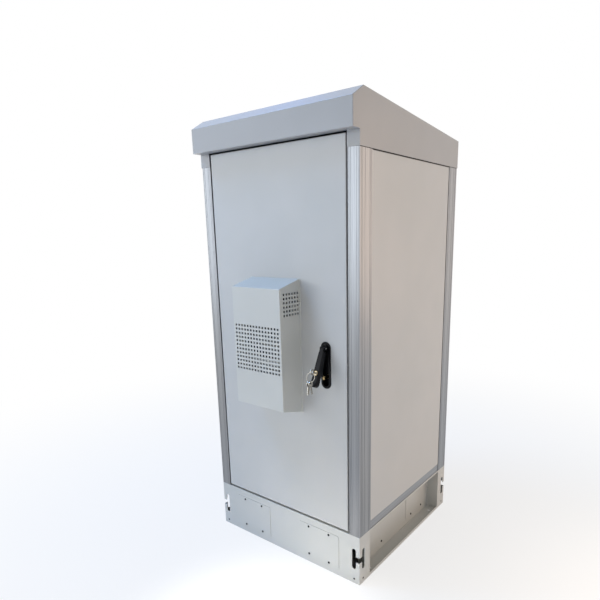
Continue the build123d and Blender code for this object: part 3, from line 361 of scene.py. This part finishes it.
FINISHES: dict[str, Finish] = {
    # Powder coat: even pale grey that takes up the colour of the light around it.
    "shell_paint": PowderCoat("Powder_coat_light_grey", "#C2C2C0", "#BDBEBC", 0.34, 1.4, 0.05),
    # The roof looks a little darker than the door in the photograph.
    "roof_paint": PowderCoat("Powder_coat_roof_grey", "#A6A6A6", "#A1A1A1", 0.34, 1.4, 0.05, coat=0.25),
    # The hood looks a little paler than the door in the photograph.
    "hood_paint": PowderCoat("Powder_coat_hood_grey", "#CACBC6", "#C6C7C2", 0.34, 1.4, 0.05),
    # The plinth looks a little paler than the door in the photograph.
    "plinth_paint": PowderCoat("Powder_coat_plinth_grey", "#C5C5C1", "#C0C1BD", 0.34, 1.4, 0.04),
    # Die lines drawn 0.9 mm apart, coarser than the real ones, so that they show.
    "anodised": AnodisedAluminium("Anodised_extruded_aluminium", "#999B9E", "#84868A", 0.34, 0.9, 0.08, Grain.ALONG_Z),
    # Zinc crystals of about 9 mm.
    "galvanised": ZincCoatedSteel("Galvanised_sheet_steel", "#B9BEC1", "#ABB0B4", 0.42, 9.0, 0.02),
    # Steel that was blackened in a salt bath: nearly black, with a dull shine. The corner screws made of it are
    # painted shade, dark heads where the corner holes show dark.
    "blackened_steel": PlatedMetal("Blackened_steel", "#2A2A2C", "#38383A", 0.45, 0.5, 0.02),
    # Zinc plated steel: pale and smooth, with fine tool marks.
    "plated_steel": PlatedMetal("Zinc_plated_steel", "#C2C3C4", "#AEB0B3", 0.3, 0.5, 0.02),
    # Rolled aluminium: the palest metal, with fine lines along X.
    "fin_aluminium": AnodisedAluminium("Rolled_aluminium_fins", "#CDCFD1", "#B9BCBF", 0.3, 0.7, 0.02, Grain.ALONG_X),
    # Moulded polyamide of the fans and the rod guides: nearly black, with a soft shine.
    "black_plastic": MouldedPlastic("Moulded_black_polyamide", "#1B1B1C", "#232325", 0.5, 0.5, 0.03),
    # Coated zinc casting: near black with a soft shine.
    "handle_black": MouldedPlastic("Satin_black_coated_zinc", "#05060A", "#08090E", 0.3, 0.6, 0.02, shine=0.18),
    # Turned brass: a muted yellow, with fine tool marks.
    "brass": PlatedMetal("Turned_brass", "#B09C74", "#97835E", 0.3, 0.4, 0.02),
    # Nickel plated brass of the keys and their plug: the glossiest finish here, in a slightly warm grey.
    "nickel": PlatedMetal("Nickel_plated_brass", "#C9C5BC", "#ABA79E", 0.24, 0.3, 0.01),
    # Foam cut from a block: dark grey and dull, pitted by its cells.
    "foam": ClosedCellFoam("Cut_closed_cell_foam", "#2B2C2E", "#3B3C3E", 0.85, 1.6, 0.3),
    # Extruded foam rubber: nearly black and dull. The strips under the roof's skirt are made of it as painted shade,
    # so that they read as the dark line of the skirt's shadow.
    "rubber": MouldedPlastic("Extruded_foam_rubber", "#121212", "#1C1C1C", 0.7, 0.8, 0.08),
}
# Nodes that have another finish than their slot's.
NODE_FINISHES: dict[str, str] = {"roof_cover": "roof_paint", "cooling_hood": "hood_paint"}
# Rails that lie flat, so that their die lines don't run upwards.
RAIL_GRAINS: dict[str, Grain] = {
    "bottom_cross_rails": Grain.ALONG_X, "top_cross_rails": Grain.ALONG_X,
    "bottom_side_rails": Grain.ALONG_Y, "top_side_rails": Grain.ALONG_Y,
}


def mesh_object(name: str, form: bmesh.types.BMesh, material: bpy.types.Material) -> bpy.types.Object:
    """Turn built mesh data to an object in the scene.

    Args:
        name: Name of the piece.
        form: Mesh that was built; it is freed.
        material: Its material.

    Returns:
        The new object.
    """
    mesh = bpy.data.meshes.new(name)
    bmesh.ops.recalc_face_normals(form, faces=form.faces)
    form.to_mesh(mesh)
    form.free()
    mesh.materials.append(material)
    piece = bpy.data.objects.new(name, mesh)
    bpy.context.scene.collection.objects.link(piece)
    return piece


@dataclass
class Dressing:
    """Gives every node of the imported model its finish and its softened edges."""

    materials: dict[str, bpy.types.Material] = field(default_factory=dict)
    edge: float = 0.6 * MM
    edge_steps: int = 2
    sharp: float = math.radians(40)
    softened: tuple[str, ...] = ("plinth_front", "plinth_rear", "side_panel_right", "side_panel_left", "rear_panel",
                                 "door_panel", "roof_cover", "plinth_side_right", "plinth_side_left",
                                 "handle_lever", "lock_dish")

    def finish(self, slot: str, grain: Grain | None = None) -> bpy.types.Material:
        """Material of a slot of the record, made once.

        Args:
            slot: Name of the slot.
            grain: Direction that replaces the finish's own.

        Returns:
            The material.
        """
        key = slot if grain is None else f"{slot}_{grain.name.lower()}"
        if key not in self.materials:
            base = FINISHES[slot]
            if grain is not None:
                base = replace(base, name=f"{base.name}_{grain.name.lower()}", grain=grain)
            self.materials[key] = base.material()
        return self.materials[key]

    def dress(self, frame: dict) -> None:
        """Dress all nodes.
        """
        slots = {part["node"]: part["material_slot"] for part in frame["record"]["subparts"]}
        for name, node in frame["nodes"].items():
            node.data.materials.clear()
            slot = NODE_FINISHES.get(name, slots[name])
            node.data.materials.append(self.finish(slot, RAIL_GRAINS.get(name)))
            if name in self.softened:
                self.soften(node)
        log.info("dressed %d nodes", len(slots))

    def soften(self, node: bpy.types.Object) -> None:
        """Round the sharp edges of a sheet or a casting a little.

        Args:
            node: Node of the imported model.
        """
        bevel = node.modifiers.new("Softened_edges", "BEVEL")
        bevel.width = self.edge
        bevel.segments = self.edge_steps
        bevel.limit_method = "ANGLE"
        bevel.angle_limit = self.sharp


@dataclass
class SocketScrews:
    """Button head screws with a hexagon socket, in rows on a sheet."""

    radius: float = 4.6 * MM
    height: float = 2.4 * MM
    # Half the width across the socket's flats.
    socket: float = 2.3 * MM
    # Shares of the radius and of the height, from the rim to the edge of the flat top.
    dome: tuple[tuple[float, float], ...] = ((1.0, 0.0), (1.0, 0.25), (0.93, 0.6), (0.78, 0.88), (0.62, 1.0))
    # Share of the height at which the socket's floor lies.
    socket_floor: float = 0.2
    steps: int = 24

    def loops(self) -> list[tuple[float, float, bool]]:
        """List the loops of a head, from its rim to the floor of its socket.

        Returns:
            Radius, height and whether it is six-sided, for each loop.
        """
        dome = [(wide * self.radius, tall * self.height, False) for wide, tall in self.dome]
        return [*dome, (self.socket, self.height, True), (self.socket, self.socket_floor * self.height, True)]

    def add_screw(self, form: bmesh.types.BMesh, place: Vector, outward: Vector) -> None:
        """Add one screw head to a mesh.

        Args:
            form: Mesh that takes it.
            place: Middle of its seat.
            outward: Direction in which its head stands out.
        """
        turn = outward.to_track_quat("Z", "Y").to_matrix().to_4x4()
        stand = Matrix.Translation(place) @ turn
        rings = []
        for radius, height, hexagonal in self.loops():
            ring = []
            for i in range(self.steps):
                angle = 2 * math.pi * i / self.steps
                reach = radius
                if hexagonal:
                    reach = radius / math.cos((angle % (math.pi / 3)) - math.pi / 6)
                ring.append(form.verts.new(stand @ Vector((reach * math.cos(angle), reach * math.sin(angle), height))))
            rings.append(ring)
        for low, high in zip(rings, rings[1:]):
            for i in range(self.steps):
                j = (i + 1) % self.steps
                form.faces.new((low[i], low[j], high[j], high[i]))
        form.faces.new(rings[-1])

    def build(self, name: str, places: list[Vector], outward: Vector, material: bpy.types.Material,
              body: str, slot: str) -> None:
        """Make a set of screws as one piece.

        Args:
            name: Name of the piece.
            places: Middles of the seats.
            outward: Direction of the heads.
            material: Their material.
            body: Body that they ride on.
            slot: Slot of the record; not used.
        """
        form = bmesh.new()
        for place in places:
            self.add_screw(form, place, outward)
        piece = mesh_object(name, form, material)
        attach(piece, body)
        log.info("%s: %d screws", name, len(places))


@dataclass
class PlinthScrews:
    """Screws that hold the eight cover plates of the plinth."""

    plate_middle: float = 181 * MM
    half_spacing: float = 50 * MM
    low: float = 38 * MM
    high: float = 160 * MM
    screws: SocketScrews = field(default_factory=SocketScrews)
    # Low heads, because the roof's rear face is only 0.5 mm further back than the plates.
    rear_screws: SocketScrews = field(default_factory=lambda: SocketScrews(height=0.45 * MM))

    def spots(self) -> list[tuple[float, float]]:
        """Distances along a side and heights of its eight screws."""
        along = [side * self.plate_middle + step * self.half_spacing for side in (-1, 1) for step in (-1, 1)]
        return [(a, z) for a in along for z in (self.low, self.high)]

    def build(self, dressing: Dressing) -> None:
        """Make the screws of the four sides.

        Args:
            dressing: Source of the materials.
        """
        low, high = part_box("plinth_cover_plates")
        black = dressing.finish("blackened_steel")
        sides = {
            "front": ([Vector((a, low.y, z)) for a, z in self.spots()], Vector((0, -1, 0))),
            "rear": ([Vector((a, high.y, z)) for a, z in self.spots()], Vector((0, 1, 0))),
            "left": ([Vector((low.x, a, z)) for a, z in self.spots()], Vector((-1, 0, 0))),
            "right": ([Vector((high.x, a, z)) for a, z in self.spots()], Vector((1, 0, 0))),
        }
        for side, (places, outward) in sides.items():
            screws = self.rear_screws if side == "rear" else self.screws
            screws.build(f"plinth_screws_{side}", places, outward, black, "frame", "plated_steel")


@dataclass
class PaintedShadeCornerScrews:
    """Blackened screws in the plinth's corner holes, a guess: painted shade, dark heads put where the holes show dark.
    """

    inset: float = 25 * MM
    height: float = 18 * MM
    sunk: float = 2.6 * MM
    screws: SocketScrews = field(default_factory=lambda: SocketScrews(radius=4.4 * MM))

    def build(self, dressing: Dressing) -> None:
        """Make the screws of the four sides.

        Args:
            dressing: Source of the materials.
        """
        black = dressing.finish("blackened_steel")
        # The heads are painted shade: dark pieces in holes that show dark.
        for front, node in ((-1, "plinth_front"), (1, "plinth_rear")):
            low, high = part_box(node)
            face = low.y if front < 0 else high.y
            across = [Vector((x, face - front * self.sunk, self.height))
                      for x in (low.x + self.inset, high.x - self.inset)]
            self.screws.build(f"corner_screws_{node}", across, Vector((0, front, 0)), black, "frame", "plated_steel")
            for side, x in ((-1, low.x), (1, high.x)):
                place = Vector((x - side * self.sunk, face - front * self.inset, self.height))
                name = f"corner_screw_{node}_{'left' if side < 0 else 'right'}"
                self.screws.build(name, [place], Vector((side, 0, 0)), black, "frame", "plated_steel")


@dataclass
class DoorScrews:
    """Zinc plated screws of the hinge leaves, the lock's gearbox cover and the cooling unit's cover."""

    leaf_half: float = 35 * MM
    foot_step: float = 26 * MM
    plate_step: float = 20 * MM
    plate_inset: float = 9 * MM
    cover_inset: float = 7 * MM
    unit_inset: float = 9 * MM
    plate_sheet: float = 2 * MM
    foot_sheet: float = 3 * MM
    foot_width: float = 21 * MM
    screws: SocketScrews = field(default_factory=lambda: SocketScrews(radius=3.4 * MM, height=1.8 * MM,
                                                                      socket=1.6 * MM))

    def build(self, dressing: Dressing) -> None:
        """Make the screws of the hinges and the covers.

        Args:
            dressing: Source of the materials.
        """
        steel = dressing.finish("plated_steel")
        low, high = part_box("hinge_frame_leaves")
        heights = (low.z + self.leaf_half, (low.z + high.z) / 2, high.z - self.leaf_half)
        feet = [Vector((high.x - self.foot_width / 2, high.y - self.foot_sheet, z + step))
                for z in heights for step in (-self.foot_step, self.foot_step)]
        self.screws.build("hinge_frame_screws", feet, Vector((0, -1, 0)), steel, "frame", "plated_steel")
        low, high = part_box("hinge_door_leaves")
        plates = [Vector((high.x - self.plate_inset, low.y + self.plate_sheet, z + step))
                  for z in heights for step in (-self.plate_step, self.plate_step)]
        self.screws.build("hinge_door_screws", plates, Vector((0, 1, 0)), steel, "door", "plated_steel")
        for name, node, inset in (("gearbox_screws", "gearbox_cover", self.cover_inset),
                                  ("unit_cover_screws", "unit_cover", self.unit_inset)):
            low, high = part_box(node)
            places = [Vector((x, high.y, z)) for x in (low.x + inset, high.x - inset)
                      for z in (low.z + inset, high.z - inset)]
            self.screws.build(name, places, Vector((0, 1, 0)), steel, "door", "plated_steel")


@dataclass
class PaintedShadeRoofStrips:
    """Rubber strips under the roof's skirt, a guess: painted shade, a dark line put where the skirt casts its shadow.
    """

    skirt_bottom: float = 1567 * MM
    gap: float = 1.4 * MM
    panel_height: float = 4 * MM
    post_height: float = 1.8 * MM
    post_side: float = 75 * MM

    def strip(self, form: bmesh.types.BMesh, low: Vector, high: Vector) -> None:
        """Add one strip to a mesh.

        Args:
            form: Mesh that takes it.
            low: Its lowest corner.
            high: Its highest corner.
        """
        shape = bmesh.ops.create_cube(form, size=1)
        bmesh.ops.scale(form, vec=high - low, verts=shape["verts"])
        bmesh.ops.translate(form, vec=(low + high) / 2, verts=shape["verts"])

    def build(self, dressing: Dressing) -> None:
        """Make the strips of the two sides.

        Args:
            dressing: Source of the materials.
        """
        rubber = dressing.finish("rubber")
        for side, node in ((1, "side_panel_right"), (-1, "side_panel_left")):
            low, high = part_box(node)
            face = high.x if side > 0 else low.x
            reach = sorted((face, face + side * self.gap))
            form = bmesh.new()
            runs = ((low.y, high.y, self.panel_height),
                    (low.y - self.post_side, low.y, self.post_height),
                    (high.y, high.y + self.post_side, self.post_height))
            for start, end, height in runs:
                self.strip(form, Vector((reach[0], start, self.skirt_bottom - height)),
                           Vector((reach[1], end, self.skirt_bottom)))
            # These strips are painted shade: the dark line of the skirt's shadow.
            piece = mesh_object(f"roof_seal_{'right' if side > 0 else 'left'}", form, rubber)
            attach(piece, "frame")
            log.info("%s: %d strips", piece.name, len(runs))


@dataclass(frozen=True)
class Lamp:
    """Square area lamp: its place, the point that it faces, its side, watts and colour, and its spread in degrees."""

    name: str
    place: Point
    aim: Point
    size: float
    power: float
    colour: str
    spread: float = 180.0


LAMPS: tuple[Lamp, ...] = (
    # Cool light from the front left, and warm light from the right.
    Lamp("Front_softbox", (-5.5, -6.8, 1.8), (0, 0, 0.9), 5.4, 228, "#EBF4FD"),
    Lamp("Right_softbox", (5.6, 3.8, 0.9), (0, 0, 0.8), 5.0, 165, "#FFD9B6"),
    # Blue light from above, and a little from behind.
    Lamp("Blue_overhead", (-2.6, -1.3, 5.4), (0, 0, 1.2), 2.0, 188, "#86BEFF"),
    Lamp("Blue_behind", (-2.3, 1.1, 4.4), (0, -0.4, 1.95), 1.2, 4.6, "#3A88FF"),
    # Lamps that shine down beside the cabinet, for the glow that a pale floor throws on its lower parts.
    Lamp("Floor_glow_front", (0.27, -1.0, 1.4), (0.27, -0.82, 0), 0.3, 2.8, "#FFF6E6", spread=38),
    Lamp("Floor_glow_right", (1.7, 0.0, 1.2), (1.7, 0.0, 0), 1.2, 6, "#FFE6CC", spread=70),
)


@dataclass
class Stage:
    """Pale floor, soft lamps and the photograph's camera."""

    floor_half: float = 14.0
    floor_colour: str = "#F2F2F2"
    # The floor outside the footprint is whitened by this share close by, and fades to full white over these distances.
    floor_white: float = 0.72
    footprint_half: float = 0.373
    fade_from: float = 0.6
    fade_to: float = 3.2
    backdrop: str = "#FFFFFF"
    # The camera was solved from the photograph's straight edges.
    lens: float = 29.805
    centre: Point = (1.27734, -1.74849, 1.29345)
    heading: float = math.radians(37.80356)
    dip: float = math.radians(12.99425)
    roll: float = math.radians(-0.99265)
    shift: tuple[float, float] = (-0.0361, 0.0855)
    sensor: float = 36.0
    sky_colour: str = "#F6F5F4"
    sky_strength: float = 0.5

    def floor(self) -> None:
        """Lay the floor."""
        form = bmesh.new()
        half = self.floor_half
        form.faces.new([form.verts.new(Vector((x, y, 0))) for x, y in
                        ((-half, -half), (half, -half), (half, half), (-half, half))])
        material = self.floor_paint()
        mesh_object("studio_floor", form, material)

    def floor_paint(self) -> bpy.types.Material:
        """Make the floor's matt paint, which keeps its shadows and shows as near white.

        Returns:
            The material.
        """
        material = bpy.data.materials.new("Matt_studio_floor")
        material.use_nodes = True
        tree = material.node_tree
        tree.nodes.clear()
        matt = add_node(tree, "ShaderNodeBsdfDiffuse", values={"Color": linear(self.floor_colour)})
        white = add_node(tree, "ShaderNodeEmission", values={"Color": linear(self.backdrop), "Strength": 1.0})
        place = add_node(tree, "ShaderNodeTexCoord")
        reach = add_node(tree, "ShaderNodeVectorMath", settings={"operation": "LENGTH"},
                         links={0: place.outputs["Object"]})
        fade = add_node(tree, "ShaderNodeMapRange", settings={"interpolation_type": "SMOOTHSTEP"},
                        values={"From Min": self.fade_from, "From Max": self.fade_to, "To Min": self.floor_white},
                        links={"Value": reach.outputs["Value"]})
        outside = add_node(tree, "ShaderNodeMath", settings={"operation": "MULTIPLY"},
                           links={0: self.beside(tree, place.outputs["Object"]), 1: fade.outputs["Result"]})
        share = add_node(tree, "ShaderNodeMath", settings={"operation": "MULTIPLY"},
                         links={0: self.seen(tree), 1: outside.outputs["Value"]})
        mix = add_node(tree, "ShaderNodeMixShader", links={"Fac": share.outputs["Value"], 1: matt.outputs["BSDF"],
                                                           2: white.outputs["Emission"]})
        add_node(tree, "ShaderNodeOutputMaterial", links={"Surface": mix.outputs["Shader"]})
        return material

    def beside(self, tree: bpy.types.NodeTree, place: bpy.types.NodeSocket) -> bpy.types.NodeSocket:
        """Mask of the floor outside the plinth, so that the floor under the cabinet stays dark.

        Args:
            tree: Node tree that takes the nodes.
            place: Place on the floor.

        Returns:
            1 outside the footprint, and 0 under it.
        """
        plain = add_node(tree, "ShaderNodeVectorMath", settings={"operation": "ABSOLUTE"}, links={0: place})
        axes = add_node(tree, "ShaderNodeSeparateXYZ", links={"Vector": plain.outputs["Vector"]})
        wide = add_node(tree, "ShaderNodeMath", settings={"operation": "MAXIMUM"},
                        links={0: axes.outputs["X"], 1: axes.outputs["Y"]})
        out = add_node(tree, "ShaderNodeMath", settings={"operation": "GREATER_THAN"},
                       values={1: self.footprint_half}, links={0: wide.outputs["Value"]})
        return out.outputs["Value"]

    def seen(self, tree: bpy.types.NodeTree) -> bpy.types.NodeSocket:
        """Mask of the rays that show the background: from the camera, off gloss and through glass.

        Args:
            tree: Node tree that takes the nodes.

        Returns:
            1 for such a ray, and 0 for any other.
        """
        path = add_node(tree, "ShaderNodeLightPath")
        both = add_node(tree, "ShaderNodeMath", settings={"operation": "MAXIMUM"},
                        links={0: path.outputs["Is Camera Ray"], 1: path.outputs["Is Glossy Ray"]})
        every = add_node(tree, "ShaderNodeMath", settings={"operation": "MAXIMUM"},
                         links={0: both.outputs["Value"], 1: path.outputs["Is Transmission Ray"]})
        return every.outputs["Value"]

    def sky(self) -> None:
        """Give soft light from all round, and show it as white."""
        world = bpy.data.worlds.new("Studio")
        bpy.context.scene.world = world
        world.use_nodes = True
        tree = world.node_tree
        tree.nodes.clear()
        light = add_node(tree, "ShaderNodeBackground",
                         values={"Color": linear(self.sky_colour), "Strength": self.sky_strength})
        white = add_node(tree, "ShaderNodeBackground", values={"Color": linear(self.backdrop), "Strength": 1.0})
        mix = add_node(tree, "ShaderNodeMixShader", links={"Fac": self.seen(tree), 1: light.outputs["Background"],
                                                           2: white.outputs["Background"]})
        add_node(tree, "ShaderNodeOutputWorld", links={"Surface": mix.outputs["Shader"]})

    def hang(self, lamp: Lamp) -> None:
        """Hang one lamp, unseen by the camera.

        Args:
            lamp: What the lamp is.
        """
        data = bpy.data.lights.new(lamp.name, "AREA")
        data.spread = math.radians(lamp.spread)
        data.size = lamp.size
        data.energy = lamp.power
        data.color = linear(lamp.colour)[:3]
        holder = bpy.data.objects.new(lamp.name, data)
        bpy.context.scene.collection.objects.link(holder)
        holder.visible_camera = False
        holder.location = lamp.place
        holder.rotation_euler = (Vector(lamp.aim) - Vector(lamp.place)).to_track_quat("-Z", "Y").to_euler()

    def camera(self) -> None:
        """Stand the camera where the photograph was taken."""
        a, e, r = self.heading, self.dip, self.roll
        look = Vector((-math.sin(a) * math.cos(e), math.cos(a) * math.cos(e), -math.sin(e)))
        right = look.cross(Vector((0, 0, 1))).normalized()
        up = right.cross(look).normalized()
        side = math.cos(r) * right + math.sin(r) * up
        top = -math.sin(r) * right + math.cos(r) * up
        data = bpy.data.cameras.new("Photograph")
        data.sensor_width = self.sensor
        data.lens = self.lens
        data.shift_x, data.shift_y = self.shift
        camera = bpy.data.objects.new("Photograph", data)
        bpy.context.scene.collection.objects.link(camera)
        turn = Matrix((side, top, -look)).transposed().to_4x4()
        camera.matrix_world = Matrix.Translation(Vector(self.centre)) @ turn
        bpy.context.scene.camera = camera

    def build(self) -> None:
        """Set up floor, light and camera."""
        self.floor()
        self.sky()
        for lamp in LAMPS:
            self.hang(lamp)
        self.camera()
        bpy.context.scene.view_settings.view_transform = "Standard"
        log.info("stage is set")


def main() -> None:
    """Build the looks in order."""
    logging.basicConfig(level=logging.INFO, format="%(name)s: %(message)s")
    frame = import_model()
    dressing = Dressing()
    dressing.dress(frame)
    # The corner screws and the strips under the roof are painted shade: dark pieces put where shade falls.
    for trim in (PlinthScrews(), PaintedShadeCornerScrews(), DoorScrews(), PaintedShadeRoofStrips()):
        trim.build(dressing)
    Stage().build()


if __name__ == "__main__":
    main()
